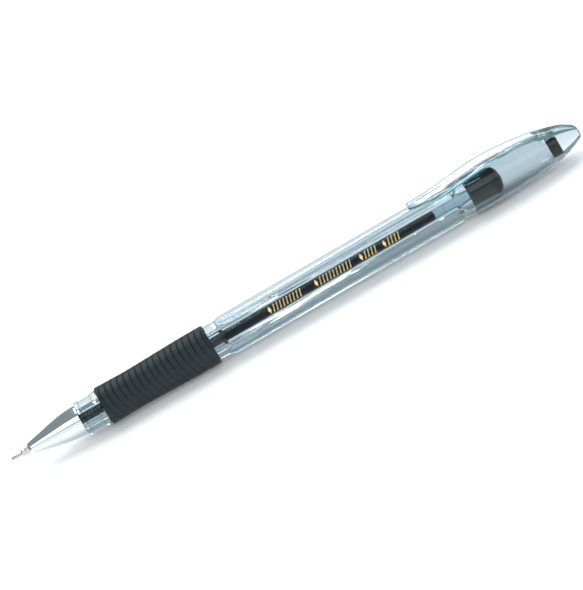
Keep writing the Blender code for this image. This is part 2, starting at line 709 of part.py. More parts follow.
def make_cap_seal():
    """A rubber disc that closes over the writing point when the cap is on the front."""
    r = SEAL_ROUNDING
    outline = [
        (SEAL_FRONT + SEAL_DIMPLE_DEPTH, 0),
        (SEAL_FRONT + 0.7 * SEAL_DIMPLE_DEPTH, 0.7 * SEAL_DIMPLE_RADIUS),
        (SEAL_FRONT, SEAL_DIMPLE_RADIUS),
        (SEAL_FRONT, SEAL_RADIUS - SEAL_CHAMFER),
        (SEAL_FRONT + SEAL_CHAMFER, SEAL_RADIUS),
        (SEAL_REAR - r, SEAL_RADIUS),
        (SEAL_REAR - 0.3 * r, SEAL_RADIUS - 0.3 * r),
        (SEAL_REAR, SEAL_RADIUS - r),
        (SEAL_REAR, 0),
    ]
    rubber = finish("seal rubber", (0.010, 0.011, 0.012), 0.5)
    return turned("cap_seal", outline, rubber)


remove_everything()

barrel = make_barrel()
make_grip().parent = barrel
make_end_plug().parent = barrel

refill = make_refill_tube()
refill.parent = barrel
black_ink = finish("ink", (0.010, 0.012, 0.018), 0.3)
clear_grease = finish("follower grease", (0.70, 0.66, 0.48), 0.3, alpha=0.5)
make_filling("ink", INK_FRONT, INK_REAR, black_ink).parent = refill
make_filling("follower", FOLLOWER_FRONT, FOLLOWER_REAR, clear_grease).parent = refill
make_tip_adapter().parent = refill
make_tip_holder().parent = refill
needle = make_needle_tube()
needle.parent = refill
make_ball().parent = needle
make_nose_cone().parent = refill

cap = make_cap()
cap.parent = barrel
make_cap_seal().parent = cap
make_clip().parent = cap
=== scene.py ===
import math

import bmesh
import bpy
from mathutils import Matrix, Vector


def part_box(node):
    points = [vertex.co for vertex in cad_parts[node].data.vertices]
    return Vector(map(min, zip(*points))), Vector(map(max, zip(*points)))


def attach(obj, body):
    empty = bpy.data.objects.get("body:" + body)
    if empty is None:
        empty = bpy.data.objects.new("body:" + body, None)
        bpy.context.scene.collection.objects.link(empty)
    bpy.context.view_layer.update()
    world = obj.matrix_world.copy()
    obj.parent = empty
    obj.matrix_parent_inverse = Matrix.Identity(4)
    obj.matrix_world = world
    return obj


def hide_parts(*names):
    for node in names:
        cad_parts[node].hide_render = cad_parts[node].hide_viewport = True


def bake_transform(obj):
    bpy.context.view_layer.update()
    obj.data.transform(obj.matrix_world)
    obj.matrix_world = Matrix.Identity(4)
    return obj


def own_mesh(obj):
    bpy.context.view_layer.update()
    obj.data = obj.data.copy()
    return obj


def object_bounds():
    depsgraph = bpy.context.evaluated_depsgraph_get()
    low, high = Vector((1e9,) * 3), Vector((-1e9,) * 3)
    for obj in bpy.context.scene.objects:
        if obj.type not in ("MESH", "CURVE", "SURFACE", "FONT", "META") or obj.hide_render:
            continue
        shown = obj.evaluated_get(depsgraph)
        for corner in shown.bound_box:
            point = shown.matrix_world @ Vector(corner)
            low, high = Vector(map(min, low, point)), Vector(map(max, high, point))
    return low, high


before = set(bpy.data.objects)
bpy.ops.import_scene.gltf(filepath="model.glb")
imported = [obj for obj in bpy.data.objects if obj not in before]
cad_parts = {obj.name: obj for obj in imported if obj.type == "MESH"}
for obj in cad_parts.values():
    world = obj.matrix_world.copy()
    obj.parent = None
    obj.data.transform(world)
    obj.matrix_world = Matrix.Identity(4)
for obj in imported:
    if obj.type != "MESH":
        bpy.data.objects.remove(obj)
cad_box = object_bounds()

# ---------------------------------------------------------------------------------------------------
# Camera. It looks along +Y and down at the pen through a long lens, and is rolled so that the pen
# rises to the right. Light gets many bounces, because it crosses the walls of clear pieces inside
# each other.
MM = 0.001
LIGHT_BOUNCES = 20
CAMERA_HEIGHT = math.radians(30)
PEN_RISE = math.radians(30.1)
LENS = 300.0
SENSOR_WIDTH = 36.0
PICTURE_SIDE = 147.5 * MM
PICTURE_MIDDLE = (69.9 * MM, 41.1 * MM)  # to the right of the writing point, and above it

scene = bpy.context.scene
scene.view_settings.view_transform = "Standard"
scene.cycles.max_bounces = LIGHT_BOUNCES
scene.cycles.transmission_bounces = LIGHT_BOUNCES
scene.cycles.glossy_bounces = LIGHT_BOUNCES

towards_camera = Vector((0, -math.cos(CAMERA_HEIGHT), math.sin(CAMERA_HEIGHT)))
level = Vector((1, 0, 0))
steep = towards_camera.cross(level)
picture_right = level * math.cos(PEN_RISE) - steep * math.sin(PEN_RISE)
picture_up = level * math.sin(PEN_RISE) + steep * math.cos(PEN_RISE)
picture_middle = picture_right * PICTURE_MIDDLE[0] + picture_up * PICTURE_MIDDLE[1]

camera_data = bpy.data.cameras.new("camera")
camera_data.lens = LENS
camera_data.sensor_width = SENSOR_WIDTH
camera = bpy.data.objects.new("camera", camera_data)
scene.collection.objects.link(camera)
distance = PICTURE_SIDE * LENS / SENSOR_WIDTH
camera.matrix_world = Matrix.LocRotScale(
    picture_middle + towards_camera * distance,
    Matrix((picture_right, picture_up, towards_camera)).transposed(),
    None,
)
scene.camera = camera


# ---------------------------------------------------------------------------------------------------
# Light and floor. A softbox stands in front of a pen on a pale, faintly lit table, with a dimmer one
# below it. Behind the pen a short one lights the grip's upper side, and a narrow one draws a line
# along the barrel. A wide light from above evens the floor out, and no gloss or clear part shows it.
SOFTBOX_DISTANCE = 600 * MM
ROOM_COLOUR = (0.75, 0.87, 0.92, 1)
ROOM_STRENGTH = 0.40
OVERHEAD_ENERGY = 1.9
OVERHEAD_WIDTH = math.radians(70)
OVERHEAD_TILT = math.radians(-30)
FLOOR_SIDE = 6.0
FLOOR_GAP = 0.02 * MM
FLOOR_GLOW = 0.12

world = bpy.data.worlds.new("studio")
world.use_nodes = True
scene.world = world
room = world.node_tree.nodes["Background"]
room.inputs["Color"].default_value = ROOM_COLOUR
room.inputs["Strength"].default_value = ROOM_STRENGTH


def softbox(name, angles, places, strength):
    """A rectangular light between two angles over the floor in front, in degrees, and between two
    places along X, in millimetres."""
    lowest, highest = angles
    left, right = places[0] * MM, places[1] * MM
    middle = math.radians(lowest + highest) / 2
    half = math.radians(highest - lowest) / 2
    back = Vector((0, -math.cos(middle), math.sin(middle)))
    light = bpy.data.lights.new(name, "AREA")
    light.shape = "RECTANGLE"
    light.size = right - left
    light.size_y = 2 * SOFTBOX_DISTANCE * math.tan(half)
    light.energy = strength * light.size * light.size_y * math.pi
    lamp = bpy.data.objects.new(name, light)
    scene.collection.objects.link(lamp)
    lamp.location = level * (left + right) / 2 + back * SOFTBOX_DISTANCE
    lamp.rotation_euler = Matrix((level, back.cross(level), back)).transposed().to_euler()


softbox("front_softbox", (32.5, 67), (-370, 530), 1.35)
softbox("low_softbox", (0, 25.5), (-370, 530), 0.85)
softbox("grip_softbox", (88, 146), (4, 50), 13.0)
softbox("strip_softbox", (148.8, 151.2), (52, 250), 8.0)

overhead = bpy.data.lights.new("overhead", "SUN")
overhead.energy = OVERHEAD_ENERGY
overhead.angle = OVERHEAD_WIDTH
overhead_lamp = bpy.data.objects.new("overhead", overhead)
scene.collection.objects.link(overhead_lamp)
overhead_lamp.rotation_euler = (OVERHEAD_TILT, 0, 0)
overhead_lamp.visible_glossy = False
overhead_lamp.visible_transmission = False


class Value:
    """What one socket of a material's nodes gives out."""

    def __init__(self, finish, socket):
        self.finish = finish
        self.socket = socket

    def between(self, low, high, start=0.0, end=1.0):
        """Goes smoothly from start to end as this value goes from low to high."""
        sockets = {"Value": self, "From Min": low, "From Max": high, "To Min": start, "To Max": end}
        return self.finish.node("ShaderNodeMapRange", {"interpolation_type": "SMOOTHSTEP"}, sockets)


class Finish:
    """A procedural material. Constants go on the shader's own sockets, and what varies is linked."""

    def __init__(self, name, colour, **constants):
        self.material = bpy.data.materials.new(name)
        self.material.use_nodes = True
        self.tree = self.material.node_tree
        self.shader = self.tree.nodes["Principled BSDF"]
        self.shader.inputs["Base Color"].default_value = (*colour, 1)
        for constant, value in constants.items():
            socket = constant.replace("_", " ").title().replace("Ior", "IOR")
            self.shader.inputs[socket].default_value = value
        self.place = self.node("ShaderNodeTexCoord", output="Object")

    def node(self, kind, settings=None, sockets=None, output=0):
        """Adds a node, with its settings first and then the values or links of its sockets."""
        node = self.tree.nodes.new(kind)
        for setting, value in (settings or {}).items():
            setattr(node, setting, value)
        for socket, value in (sockets or {}).items():
            if isinstance(value, Value):
                self.tree.links.new(value.socket, node.inputs[socket])
            else:
                node.inputs[socket].default_value = value
        return Value(self, node.outputs[output])

    def feed(self, socket, value):
        """Links what varies over the surface to a socket of the shader."""
        self.tree.links.new(value.socket, self.shader.inputs[socket])

    def noise(self, size, detail=2, stretch=(1, 1, 1)):
        """Soft noise from 0 to 1 whose blobs measure about size, stretched along the axes."""
        scale = [1 / times for times in stretch]
        place = self.node("ShaderNodeMapping", sockets={"Vector": self.place, "Scale": scale})
        sockets = {"Vector": place, "Scale": 1 / size, "Detail": detail}
        return self.node("ShaderNodeTexNoise", sockets=sockets)

    def mix(self, share, first, second):
        """A colour that goes from first to second with share."""
        sockets = {0: share, 6: (*first, 1), 7: (*second, 1)}
        return self.node("ShaderNodeMix", {"data_type": "RGBA"}, sockets, output=2)

    def deepen(self, face, edge):
        """Clear plastic seen edge on, through more of itself, goes from its face's tint to its edge's."""
        slope = self.node("ShaderNodeLayerWeight", sockets={"Blend": 0.5}, output="Facing")
        self.feed("Base Color", self.mix(slope.between(0.42, 1.0), face, edge))

    def bump(self, height, depth):
        """Bumps of a depth in metres where the height goes from 0 to 1."""
        bumps = self.node("ShaderNodeBump", sockets={"Height": height, "Distance": depth})
        self.feed("Normal", bumps)


floor_finish = Finish(
    "studio_floor",
    (0.93, 0.935, 0.94),
    roughness=0.9,
    emission_color=(0.95, 0.97, 1.0, 1),
    emission_strength=FLOOR_GLOW,
)
floor_finish.bump(floor_finish.noise(0.4 * MM), 0.01 * MM)
floor_shape = bmesh.new()
bmesh.ops.create_grid(floor_shape, x_segments=1, y_segments=1, size=FLOOR_SIDE / 2)
floor_mesh = bpy.data.meshes.new("floor")
floor_shape.to_mesh(floor_mesh)
floor_mesh.transform(Matrix.Translation((0, 0, cad_box[0].z - FLOOR_GAP)))
floor_mesh.materials.append(floor_finish.material)
floor = bpy.data.objects.new("floor", floor_mesh)
scene.collection.objects.link(floor)


# ---------------------------------------------------------------------------------------------------
# Needle and ball. The point is a thin drawn steel tube, whose lip is rolled round a hard metal ball.
# The ball turns in its cup and carries the ink from the tube's bore to the paper.
def filleted(points, steps=4):
    """An outline through (x, radius, rounding) points, each corner rounded by an arc of its rounding."""
    outline = []
    for index, (x, radius, rounding) in enumerate(points):
        corner = Vector((x, radius))
        if not rounding:
            outline.append(corner)
            continue
        back = (Vector(points[index - 1][:2]) - corner).normalized()
        on = (Vector(points[(index + 1) % len(points)][:2]) - corner).normalized()
        half = back.angle(on) / 2
        centre = corner + (back + on).normalized() * rounding / math.sin(half)
        start = corner + back * rounding / math.tan(half) - centre
        end = corner + on * rounding / math.tan(half) - centre
        for step in range(steps + 1):
            outline.append(centre + start.lerp(end, step / steps).normalized() * rounding)
    return outline


def smooth_curve(points, steps=6):
    """A Catmull-Rom curve through points of any number of dimensions."""
    points = [Vector(point) for point in points]
    padded = [2 * points[0] - points[1], *points, 2 * points[-1] - points[-2]]
    curve = [points[0]]
    for before, start, end, after in zip(padded, padded[1:], padded[2:], padded[3:]):
        for step in range(1, steps + 1):
            t = step / steps
            bend = 2 * before - 5 * start + 4 * end - after
            twist = 3 * start - before - 3 * end + after
            curve.append(0.5 * (2 * start + (end - before) * t + bend * t**2 + twist * t**3))
    return curve


def piece_from(shape, name, finish, body, sharp=30):
    """An object of this bmesh, riding on a body unless it is None, sharp at edges over an angle."""
    mesh = bpy.data.meshes.new(name)
    shape.to_mesh(mesh)
    shape.free()
    mesh.materials.append(finish.material)
    mesh.shade_smooth()
    mesh.set_sharp_from_angle(angle=math.radians(sharp))
    piece = bpy.data.objects.new(name, mesh)
    scene.collection.objects.link(piece)
    if body:
        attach(piece, body)
    return piece


def turned_shape(outline, sides):
    """A closed skin turned about X from (x, radius) points in millimetres: a loop, or a line from the
    axis back to the axis."""
    shape = bmesh.new()
    points = [shape.verts.new((x * MM, 0, radius * MM)) for x, radius in outline]
    following = points[1:] + points[:1] if outline[0][1] > 0 else points[1:]
    edges = [shape.edges.new(pair) for pair in zip(points, following)]
    bmesh.ops.spin(
        shape,
        geom=points + edges,
        axis=(1, 0, 0),
        cent=(0, 0, 0),
        angle=2 * math.pi,
        steps=sides,
        use_merge=True,
    )
    bmesh.ops.remove_doubles(shape, verts=shape.verts, dist=1e-7)
    bmesh.ops.recalc_face_normals(shape, faces=shape.faces)
    return shape


def span(node):
    """Where a node of the frame starts and ends along the pen, in millimetres."""
    low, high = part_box(node)
    return low.x / MM, high.x / MM


BALL_RADIUS = 0.35
BALL_STEPS = 16
NEEDLE_RADIUS = 0.44
NEEDLE_BORE = 0.20
LIP_RADIUS = 0.37
LIP_TAPER = 0.16
CUP_RADIUS = 0.36
CUP_REAR = 0.68

steel = Finish("needle_steel", (0.42, 0.43, 0.46), metallic=1.0)
steel.feed("Roughness", steel.noise(0.5 * MM, stretch=(6, 1, 1)).between(0.3, 0.7, 0.16, 0.30))
steel.bump(steel.noise(0.08 * MM), 0.001 * MM)

ball_outline = [
    (BALL_RADIUS * (1 - math.cos(turn)), BALL_RADIUS * math.sin(turn))
    for turn in [math.pi * step / BALL_STEPS for step in range(BALL_STEPS + 1)]
]
ball_outline[0] = (0, 0)
ball_outline[-1] = (2 * BALL_RADIUS, 0)
ball = piece_from(turned_shape(ball_outline, 32), "writing_ball", steel, "ball")
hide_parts("ball")

needle_front, needle_rear = span("needle_tube")
needle_outline = filleted(
    [
        (needle_front, LIP_RADIUS - 0.025, 0),
        (needle_front, LIP_RADIUS, 0.02),
        (needle_front + LIP_TAPER, NEEDLE_RADIUS, 0.1),
        (needle_rear, NEEDLE_RADIUS, 0),
        (needle_rear, NEEDLE_BORE, 0),
        (CUP_REAR + 0.06, NEEDLE_BORE, 0),
        (CUP_REAR, CUP_RADIUS, 0),
        (needle_front + 0.1, CUP_RADIUS + 0.005, 0),
    ]
)
needle = piece_from(turned_shape(needle_outline, 40), "needle", steel, "refill")
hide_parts("needle_tube")


# ---------------------------------------------------------------------------------------------------
# Tip holder. A turned collar of rosy nickel silver, which the needle is pressed into. Its shoulder
# stops against the inside of the nose cone.
holder_front, holder_rear = span("tip_holder")
HOLDER_RADIUS = 0.90
HOLDER_MOUTH = 0.47
HOLDER_BORE = 0.75
HOLDER_GROOVE_FRONT = 1.05
HOLDER_GROOVE_DEPTH = 0.05
HOLDER_SHOULDER_RADIUS = 1.20
HOLDER_SHOULDER_LENGTH = 2.30

holder_metal = Finish("holder_metal", (0.60, 0.54, 0.55), metallic=1.0)
turning_marks = holder_metal.noise(0.06 * MM, stretch=(1, 40, 40))
holder_metal.feed("Roughness", turning_marks.between(0.3, 0.7, 0.20, 0.34))
holder_metal.bump(turning_marks, 0.002 * MM)
holder_groove = holder_front + HOLDER_GROOVE_FRONT
holder_outline = filleted(
    [
        (holder_front, HOLDER_MOUTH, 0.02),
        (holder_front, 0.66, 0.05),
        (holder_front + 0.28, HOLDER_RADIUS, 0.08),
        (holder_groove, HOLDER_RADIUS, 0.03),
        (holder_groove + 0.07, HOLDER_RADIUS - HOLDER_GROOVE_DEPTH, 0.03),
        (holder_groove + 0.19, HOLDER_RADIUS - HOLDER_GROOVE_DEPTH, 0.03),
        (holder_groove + 0.26, HOLDER_RADIUS, 0.03),
        (holder_rear - HOLDER_SHOULDER_LENGTH, HOLDER_RADIUS, 0),
        (holder_rear - HOLDER_SHOULDER_LENGTH, HOLDER_SHOULDER_RADIUS, 0.05),
        (holder_rear, HOLDER_SHOULDER_RADIUS, 0.1),
        (holder_rear, HOLDER_BORE, 0),
        (holder_front + 2.4, HOLDER_MOUTH, 0),
    ],
    steps=3,
)
holder = piece_from(turned_shape(holder_outline, 56), "tip_collar", holder_metal, "refill")
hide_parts("tip_holder")


# ---------------------------------------------------------------------------------------------------
# Nose cone. A brass cone with polished chrome plating, screwed onto the barrel. Its wall is drawn
# thin at the front, and it has a small round step at its rear edge.
cone_front, cone_rear = span("nose_cone")
CONE_FRONT_RADIUS = 1.50
CONE_REAR_RADIUS = 3.97
CONE_MOUTH = 1.02
COLLAR_BORE = 1.32
ADAPTER_BORE = 1.68
THREAD_BORE = 2.80
CONE_MOUTH_LENGTH = 1.6
COLLAR_BORE_LENGTH = 4.0
ADAPTER_BORE_LENGTH = 8.3
BORE_CHAMFER = 0.1

chrome = Finish("chrome", (0.71, 0.75, 0.76), metallic=1.0)
chrome.feed("Roughness", chrome.noise(3 * MM, detail=4).between(0.35, 0.75, 0.05, 0.09))
chrome.bump(chrome.noise(1.2 * MM, stretch=(3, 1, 1)), 0.0015 * MM)
cone_length = cone_rear - cone_front
cone_rise = CONE_REAR_RADIUS - CONE_FRONT_RADIUS
cone_shares = [(0, 0), (0.20, 0.27), (0.53, 0.70), (0.70, 0.89), (0.86, 0.985), (1, 1)]
cone_outside = smooth_curve(
    [(cone_front + along * cone_length, CONE_FRONT_RADIUS + up * cone_rise) for along, up in cone_shares]
)
cone_lip = filleted(
    [
        (cone_front + 0.1, 1.1, 0),
        (cone_front, 1.2, 0.1),
        (cone_front, 1.46, 0.1),
        (*cone_outside[1], 0),
    ]
)
cone_edge = filleted(
    [
        (*cone_outside[-2], 0),
        (cone_rear, CONE_REAR_RADIUS, 0.12),
        (cone_rear, THREAD_BORE, 0),
    ]
)
cone_outline = [
    (cone_front + 0.30, CONE_MOUTH),
    *cone_lip[1:],
    *cone_outside[2:-1],
    *cone_edge[1:],
    (cone_front + ADAPTER_BORE_LENGTH + BORE_CHAMFER, THREAD_BORE),
    (cone_front + ADAPTER_BORE_LENGTH, ADAPTER_BORE),
    (cone_front + COLLAR_BORE_LENGTH, ADAPTER_BORE),
    (cone_front + COLLAR_BORE_LENGTH, COLLAR_BORE),
    (cone_front + CONE_MOUTH_LENGTH + BORE_CHAMFER, COLLAR_BORE),
    (cone_front + CONE_MOUTH_LENGTH, CONE_MOUTH),
]
cone = piece_from(turned_shape(cone_outline, 120), "chrome_cone", chrome, "nose_cone")
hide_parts("nose_cone")


# ---------------------------------------------------------------------------------------------------
# Refill. An extruded tube of translucent plastic on a pale plug, filled with black gel ink. A plug
# of clear grease follows the ink down the tube as it is used up. The tube's wall is thin, so its
# refraction is set low, to show little of an edge.
refill_front, refill_rear = span("refill_tube")
ink_front, ink_rear = span("ink")
follower_front, follower_rear = span("follower")
REFILL_RADIUS = 1.30
REFILL_BORE = 0.95
INK_RADIUS = 0.96  # the ink wets the tube, so its skin lies just inside the wall
GREASE_RADIUS = 0.93
INK_HOLLOW = 0.4
GREASE_NOSE = 0.3
GREASE_HOLLOW = 0.45

CLEAR_SHEEN = (0.5, 0.5, 0.5, 1)
tube_plastic = Finish(
    "refill_plastic",
    (0.73, 0.81, 0.84),
    transmission_weight=1.0,
    ior=1.3,
    specular_tint=CLEAR_SHEEN,
)
tube_haze = tube_plastic.noise(2 * MM, stretch=(12, 1, 1))
tube_plastic.feed("Roughness", tube_haze.between(0.45, 0.8, 0.0, 0.03))
tube_outline = filleted(
    [
        (refill_front, REFILL_BORE, 0.03),
        (refill_front, REFILL_RADIUS, 0.05),
        (refill_rear, REFILL_RADIUS, 0.05),
        (refill_rear, REFILL_BORE, 0.03),
    ],
    steps=2,
)
tube = piece_from(turned_shape(tube_outline, 48), "refill_pipe", tube_plastic, "refill")
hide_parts("refill_tube")

black_ink = Finish("ink", (0.008, 0.016, 0.024), roughness=0.25, specular_ior_level=0.1)
ink_flow = black_ink.noise(4 * MM, detail=3, stretch=(5, 1, 1))
black_ink.feed("Base Color", black_ink.mix(ink_flow, (0.008, 0.011, 0.016), (0.018, 0.022, 0.028)))
ink_outline = [
    (ink_front, 0),
    (ink_front, INK_RADIUS),
    (ink_rear, INK_RADIUS),
    *smooth_curve([(ink_rear, 0.90), (ink_rear - 0.22, 0.6), (ink_rear - INK_HOLLOW, 0)], 3)[1:-1],
    (ink_rear - INK_HOLLOW, 0),
]
ink = piece_from(turned_shape(ink_outline, 40), "gel_ink", black_ink, "refill")
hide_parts("ink")
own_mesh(ink)

grease = Finish(
    "follower_grease",
    (0.94, 0.96, 0.92),
    transmission_weight=0.95,
    ior=1.46,
    alpha=0.2,
)
grease.feed("Roughness", grease.noise(0.6 * MM).between(0.3, 0.7, 0.1, 0.3))
nose_tip = follower_front - GREASE_NOSE
hollow_end = follower_rear - GREASE_HOLLOW
grease_outline = [
    (nose_tip, 0),
    *smooth_curve([(nose_tip, 0), (follower_front - 0.12, 0.6), (follower_front, 0.9)], 3)[1:-1],
    (follower_front, GREASE_RADIUS),
    (follower_rear, GREASE_RADIUS),
    *smooth_curve([(follower_rear, 0.9), (follower_rear - 0.3, 0.6), (hollow_end, 0)], 3)[1:-1],
    (hollow_end, 0),
]
follower = piece_from(turned_shape(grease_outline, 40), "grease_plug", grease, "follower")
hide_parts("follower")

adapter_plastic = Finish("adapter_plastic", (0.75, 0.76, 0.74), subsurface_weight=0.1)
adapter_plastic.feed("Roughness", adapter_plastic.noise(1 * MM).between(0.3, 0.7, 0.35, 0.5))
adapter_front, adapter_rear = span("tip_adapter")
INK_CHANNEL = 0.3
ADAPTER_NOSE_RADIUS = 0.7
ADAPTER_NOSE_LENGTH = 1.4
ADAPTER_COLLAR_RADIUS = 1.55
ADAPTER_TAIL_RADIUS = 0.9
ADAPTER_TAIL_LENGTH = 4.5
adapter_outline = filleted(
    [
        (adapter_front, INK_CHANNEL, 0),
        (adapter_front, ADAPTER_NOSE_RADIUS, 0.08),
        (adapter_front + ADAPTER_NOSE_LENGTH, ADAPTER_NOSE_RADIUS, 0),
        (adapter_front + ADAPTER_NOSE_LENGTH, ADAPTER_COLLAR_RADIUS, 0.1),
        (adapter_rear - ADAPTER_TAIL_LENGTH, ADAPTER_COLLAR_RADIUS, 0.1),
        (adapter_rear - ADAPTER_TAIL_LENGTH, ADAPTER_TAIL_RADIUS, 0),
        (adapter_rear, ADAPTER_TAIL_RADIUS, 0.08),
        (adapter_rear, INK_CHANNEL, 0),
    ],
    steps=3,
)
adapter_shape = turned_shape(adapter_outline, 48)
adapter = piece_from(adapter_shape, "refill_adapter", adapter_plastic, "refill")
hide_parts("tip_adapter")


# ---------------------------------------------------------------------------------------------------
# Barrel. One moulding of clear plastic with a blue-grey tint: a threaded spigot, a beaded neck, a seat
# for the grip, and a six-sided stretch with slightly crowned sides and a six-sided bore.
barrel_front, barrel_rear = span("barrel")
grip_front, grip_rear = span("grip")
plug_front, plug_rear = span("end_plug")
SPIGOT_RADIUS = 2.45
SHOULDER = 20.10
BEAD_RADIUS = 4.60
BEAD_LENGTH = 1.1
NECK_RADIUS = 4.30
BAND_RADIUS = 4.72
FRONT_BAND_LENGTH = 1.6
SEAT_CLEARANCE = 0.1
SEAT_RADIUS = 4.10
HEX_FRONT = 60.70
HEX_REAR = 128.70
HEX_RUN_OUT = 1.50
CORNER_RADIUS = 5.125
SIDE_DISTANCE = 4.78
SIDE_CROWN_RADIUS = 20.0
BORE_SIDE_DISTANCE = 3.0
FRONT_BORE = 2.0
REAR_BORE = 3.55
BORE_STEP = 1.5
BARREL_SIDES = 144
SMALLEST_GAP = 0.001


def clear_plastic(name, face_tint, edge_tint, haze_stretch, ripple_size, ripple_stretch, ripple_depth):
    """Moulded clear plastic, with a trace of haze and the faint ripples of its flow in the mould."""
    plastic = Finish(name, face_tint, transmission_weight=1.0, ior=1.49, specular_tint=CLEAR_SHEEN)
    haze = plastic.noise(2 * MM, detail=4, stretch=haze_stretch)
    plastic.feed("Roughness", haze.between(0.55, 0.85, 0.0, 0.02))
    plastic.deepen(face_tint, edge_tint)
    plastic.bump(plastic.noise(ripple_size * MM, stretch=ripple_stretch), ripple_depth * MM)
    return plastic


clear = clear_plastic(
    "barrel_plastic",
    face_tint=(0.64, 0.735, 0.78),
    edge_tint=(0.16, 0.30, 0.34),
    haze_stretch=(8, 1, 1),
    ripple_size=2.5,
    ripple_stretch=(14, 1, 1),
    ripple_depth=0.0005,
)


def turn_from_middle(y, z):
    """How far round the axis a point is from the middle of its side, in radians."""
    sixth = math.pi / 3
    return math.atan2(z, y) % sixth - sixth / 2


def side_reach(turn):
    """Distance from the axis to a crowned side, at an angle from the side's middle."""
    centre = SIDE_CROWN_RADIUS - SIDE_DISTANCE
    return math.sqrt(SIDE_CROWN_RADIUS**2 - (centre * math.sin(turn)) ** 2) - centre * math.cos(turn)


def smooth_step(share):
    """Goes from 0 to 1 with share, level at both ends."""
    return share**2 * (3 - 2 * share)


front_fade = [
    (
        HEX_FRONT + HEX_RUN_OUT * share,
        BAND_RADIUS + (CORNER_RADIUS - BAND_RADIUS) * smooth_step(share),
    )
    for share in [step / 8 for step in range(9)]
]
rear_fade = [(HEX_FRONT + HEX_REAR - x, radius) for x, radius in front_fade[::-1]]
bore_outline = [
    (HEX_REAR + BORE_STEP, REAR_BORE),
    (HEX_REAR, BORE_SIDE_DISTANCE),
    (HEX_FRONT, BORE_SIDE_DISTANCE),
    (HEX_FRONT - BORE_CHAMFER, FRONT_BORE),
]
seat_front = grip_front - SEAT_CLEARANCE
seat_rear = grip_rear + SEAT_CLEARANCE
band_front = seat_front - FRONT_BAND_LENGTH
barrel_outline = [
    *filleted(
        [
            (barrel_front, FRONT_BORE, 0),
            (barrel_front, SPIGOT_RADIUS, 0.2),
            (SHOULDER, SPIGOT_RADIUS, 0),
            (SHOULDER, BEAD_RADIUS, 0.22),
            (SHOULDER + BEAD_LENGTH, BEAD_RADIUS, 0.22),
            (SHOULDER + BEAD_LENGTH, NECK_RADIUS, 0),
            (band_front, NECK_RADIUS, 0),
            (band_front, BAND_RADIUS, 0.22),
            (seat_front, BAND_RADIUS, 0.22),
            (seat_front, SEAT_RADIUS, 0),
            (seat_rear, SEAT_RADIUS, 0),
            (seat_rear, BAND_RADIUS, 0.15),
            (HEX_FRONT, BAND_RADIUS, 0),
        ]
    ),
    *front_fade[1:],
    *rear_fade[:-1],
    *filleted(
        [
            (HEX_REAR, BAND_RADIUS, 0),
            (barrel_rear, BAND_RADIUS, 0.2),
            (barrel_rear, REAR_BORE, 0.1),
            (HEX_REAR + BORE_STEP, REAR_BORE, 0),
        ]
    )[:-1],
    *bore_outline,
]
barrel_shape = turned_shape(barrel_outline, BARREL_SIDES)
for point in barrel_shape.verts:
    x, y, z = point.co / MM
    radius = math.hypot(y, z)
    turn = turn_from_middle(y, z)
    if radius > BAND_RADIUS - SMALLEST_GAP:
        wanted = min(radius, side_reach(turn))
    elif abs(radius - BORE_SIDE_DISTANCE) < SMALLEST_GAP:
        wanted = BORE_SIDE_DISTANCE / math.cos(turn)
    else:
        continue
    point.co.y *= wanted / radius
    point.co.z *= wanted / radius
barrel = piece_from(barrel_shape, "clear_barrel", clear, "barrel")
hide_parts("barrel")

THREAD_FRONT = 14.2
THREAD_PITCH = 1.25
THREAD_TURNS = 4
THREAD_STEPS = 36
THREAD_ROOT = (0.34, 2.40)
THREAD_CREST = (0.13, 2.74)
thread_shape = bmesh.new()
thread_outline = [
    (-THREAD_ROOT[0], THREAD_ROOT[1]),
    (-THREAD_CREST[0], THREAD_CREST[1]),
    THREAD_CREST,
    THREAD_ROOT,
]
thread_face = thread_shape.faces.new(
    [thread_shape.verts.new(((THREAD_FRONT + x) * MM, 0, radius * MM)) for x, radius in thread_outline]
)
bmesh.ops.spin(
    thread_shape,
    geom=[thread_face],
    axis=(1, 0, 0),
    cent=(0, 0, 0),
    dvec=(THREAD_PITCH * MM / THREAD_STEPS, 0, 0),
    angle=2 * math.pi * THREAD_TURNS,
    steps=THREAD_STEPS * THREAD_TURNS,
)
bmesh.ops.recalc_face_normals(thread_shape, faces=thread_shape.faces)
piece_from(thread_shape, "barrel_thread", clear, "barrel")


# ---------------------------------------------------------------------------------------------------
# Gold print. A plain ornament hot-stamped in gold foil on the side of the barrel next to the clip's
# side: four bands of fine slanted strokes, each with a diamond in front.
PRINT_HEIGHT = 1.9
DIAMOND_WIDTH = 0.9
STROKE_WIDTH = 0.32
STROKE_SLANT = 0.25
STROKE_PITCH = 0.95
FOIL_LIFT = 0.012
PRINTED_SIDE = math.radians(150)
gold = Finish("gold_foil", (0.90, 0.64, 0.30), metallic=0.7)
gold.feed("Roughness", gold.noise(0.15 * MM, detail=3).between(0.3, 0.7, 0.28, 0.5))
gold.feed("Base Color", gold.mix(gold.noise(0.4 * MM), (0.84, 0.56, 0.22), (0.98, 0.76, 0.40)))

print_shape = bmesh.new()


def stamp(x, corners):
    """One foil shape of (along, up) corners about a place on the print's line, on the crowned side."""
    places = []
    for along, up in corners:
        turn = up / SIDE_DISTANCE
        reach = (side_reach(turn) + FOIL_LIFT) * MM
        angle = PRINTED_SIDE - turn
        places.append(((x + along) * MM, reach * math.cos(angle), reach * math.sin(angle)))
    print_shape.faces.new([print_shape.verts.new(place) for place in places])


def slanted_stroke(x):
    """A foil stroke that leans back along the pen."""
    half, top = STROKE_WIDTH / 2, PRINT_HEIGHT / 2
    stamp(
        x,
        [
            (-half - STROKE_SLANT, -top),
            (half - STROKE_SLANT, -top),
            (half + STROKE_SLANT, top),
            (-half + STROKE_SLANT, top),
        ],
    )


